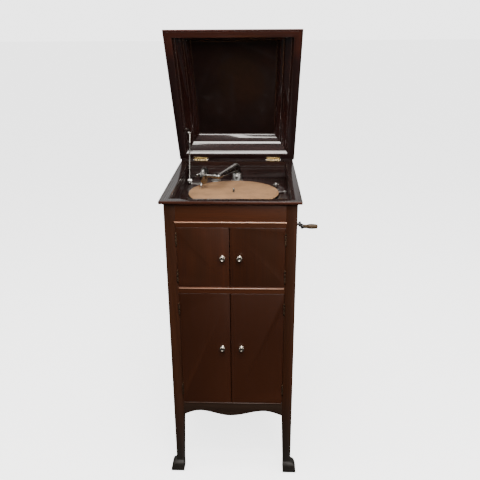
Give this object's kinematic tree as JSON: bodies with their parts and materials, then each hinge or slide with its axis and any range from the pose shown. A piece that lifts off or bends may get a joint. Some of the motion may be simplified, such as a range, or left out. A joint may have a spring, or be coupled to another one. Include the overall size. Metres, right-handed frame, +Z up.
{
  "type": "gramophone cabinet",
  "caption": "Floor-standing wooden gramophone cabinet with a propped hinged lid, turntable well, tone arm, winding crank, front doors and flared feet.",
  "frame": {"origin": "middle of the object's box in plan, on the floor under the feet", "axes": "+X to the right seen from the front, towards the crank; +Y from the doors to the rear; +Z up"},
  "size_m": [0.499, 0.5908, 1.4841],
  "materials": {
    "mahogany_dark": "dark gloss varnish",
    "mahogany": "dark gloss varnish",
    "inner_wood": "thin dark stain",
    "brass": "plain, a little worn",
    "knob_brass": "turned and polished",
    "bright_metal": "nickel plated",
    "black_metal": "dark plated, satin",
    "felt": "woven felt",
    "diaphragm": "thin mica disc",
    "gear_steel": "machined",
    "handle_wood": "light turned wood"
  },
  "bodies": {
    "cabinet": {"front_left_post": "mahogany_dark", "front_right_post": "mahogany_dark", "rear_left_post": "mahogany_dark", "rear_right_post": "mahogany_dark", "left_side_panel": "mahogany", "right_side_panel": "mahogany", "back_panel": "inner_wood", "bottom_board": "inner_wood", "horn_shelf": "inner_wood", "motor_board": "mahogany", "well_liner": "mahogany", "top_rim": "mahogany", "front_rails": "mahogany", "front_apron": "mahogany", "front_beads": "mahogany", "horn": "inner_wood", "horn_louvres": "inner_wood", "record_dividers": "inner_wood", "crank_escutcheon": "bright_metal", "tone_arm_bracket": "black_metal", "needle_cup": "bright_metal", "motor_frame": "black_metal", "fixed_hinge_leaves": "brass", "hinge_pins": "brass", "stay_bracket": "bright_metal"},
    "lid": {"lid_frame": "mahogany_dark", "lid_moulding": "mahogany_dark", "lid_panel": "mahogany_dark", "lid_hinge_leaves": "brass", "stay_lid_bracket": "bright_metal"},
    "stay_rod": {"stay_rod": "bright_metal"},
    "stay_guide": {"stay_guide": "bright_metal"},
    "upper_left_door": {"upper_left_door": "mahogany", "upper_left_knob": "knob_brass", "upper_left_hinge_leaves": "brass"},
    "upper_right_door": {"upper_right_door": "mahogany", "upper_right_knob": "knob_brass", "upper_right_hinge_leaves": "brass"},
    "lower_left_door": {"lower_left_door": "mahogany", "lower_left_knob": "knob_brass", "lower_left_hinge_leaves": "brass"},
    "lower_right_door": {"lower_right_door": "mahogany", "lower_right_knob": "knob_brass", "lower_right_hinge_leaves": "brass"},
    "tone_arm": {"tone_arm": "black_metal"},
    "soundbox": {"soundbox_neck": "bright_metal", "soundbox": "bright_metal", "diaphragm": "diaphragm", "needle_bar": "bright_metal"},
    "turntable": {"platter": "black_metal", "platter_felt": "felt", "spindle": "gear_steel"},
    "brake_lever": {"brake_lever": "bright_metal"},
    "speed_lever": {"speed_lever": "bright_metal"},
    "spring_barrel": {"spring_barrel": "gear_steel"},
    "spring_arbor": {"spring_arbor": "gear_steel"},
    "governor": {"governor": "brass"},
    "crank": {"winding_shaft": "gear_steel", "crank_arm": "black_metal"},
    "crank_handle": {"crank_handle": "handle_wood"}
  },
  "joints": [
    {"name": "lid_open", "type": "hinge", "parent": "cabinet", "child": "lid", "pos_m": [-0.028, 0.26237, 1.0073], "axis": [-1, 0, 0], "range_deg": [-58.4, 0]},
    {"name": "stay_rod_turn", "type": "hinge", "parent": "lid", "child": "stay_rod", "pos_m": [-0.2, 0.20214, 1.12251], "axis": [-1, 0, 0], "range_deg": [0, 29.2]},
    {"name": "stay_guide_turn", "type": "hinge", "parent": "cabinet", "child": "stay_guide", "pos_m": [-0.2, 0.14237, 0.9573], "axis": [-1, 0, 0], "range_deg": [-29.2, 0]},
    {"name": "upper_left_door_open", "type": "hinge", "parent": "cabinet", "child": "upper_left_door", "pos_m": [-0.1956, -0.28423, 0.82], "axis": [0, 0, -1], "range_deg": [0, 165]},
    {"name": "upper_right_door_open", "type": "hinge", "parent": "cabinet", "child": "upper_right_door", "pos_m": [0.1396, -0.28423, 0.82], "axis": [0, 0, 1], "range_deg": [0, 165]},
    {"name": "lower_left_door_open", "type": "hinge", "parent": "cabinet", "child": "lower_left_door", "pos_m": [-0.1956, -0.28423, 0.495], "axis": [0, 0, -1], "range_deg": [0, 165]},
    {"name": "lower_right_door_open", "type": "hinge", "parent": "cabinet", "child": "lower_right_door", "pos_m": [0.1396, -0.28423, 0.495], "axis": [0, 0, 1], "range_deg": [0, 165]},
    {"name": "tone_arm_swing", "type": "hinge", "parent": "cabinet", "child": "tone_arm", "pos_m": [-0.026, 0.18857, 0.975], "axis": [0, 0, 1], "range_deg": [-11, 14]},
    {"name": "soundbox_turn", "type": "hinge", "parent": "tone_arm", "child": "soundbox", "pos_m": [-0.08098, -0.01379, 1.012], "axis": [-0.965, 0.2622, 0], "range_deg": [0, 100]},
    {"name": "turntable_spin", "type": "hinge", "parent": "cabinet", "child": "turntable", "pos_m": [-0.028, -0.04643, 0.95], "axis": [0, 0, 1], "continuous": true},
    {"name": "brake_turn", "type": "hinge", "parent": "cabinet", "child": "brake_lever", "pos_m": [0.148, 0.01157, 0.945], "axis": [0, 0, 1], "range_deg": [-18, 12]},
    {"name": "speed_turn", "type": "hinge", "parent": "cabinet", "child": "speed_lever", "pos_m": [0.119, 0.12357, 0.945], "axis": [0, 0, 1], "range_deg": [-25, 25]},
    {"name": "spring_barrel_spin", "type": "hinge", "parent": "cabinet", "child": "spring_barrel", "pos_m": [0.029, -0.04643, 0.897], "axis": [0, 0, 1], "continuous": true},
    {"name": "spring_arbor_spin", "type": "hinge", "parent": "cabinet", "child": "spring_arbor", "pos_m": [0.029, -0.04643, 0.869], "axis": [0, 0, 1], "continuous": true},
    {"name": "governor_spin", "type": "hinge", "parent": "cabinet", "child": "governor", "pos_m": [-0.04702, -0.00565, 0.86], "axis": [0, 0, 1], "continuous": true},
    {"name": "crank_turn", "type": "hinge", "parent": "cabinet", "child": "crank", "pos_m": [0.162, -0.04643, 0.853], "axis": [1, 0, 0], "continuous": true},
    {"name": "crank_handle_spin", "type": "hinge", "parent": "crank", "child": "crank_handle", "pos_m": [0.212, -0.15268, 0.88147], "axis": [1, 0, 0], "continuous": true}
  ],
  "couplings": [
    {"joint": "stay_rod_turn", "follows": "lid_open", "ratio": -0.5},
    {"joint": "stay_guide_turn", "follows": "lid_open", "ratio": 0.5},
    {"joint": "spring_barrel_spin", "follows": "turntable_spin", "ratio": -0.26667},
    {"joint": "governor_spin", "follows": "turntable_spin", "ratio": -8},
    {"joint": "spring_arbor_spin", "follows": "crank_turn", "ratio": -0.4}
  ]
}
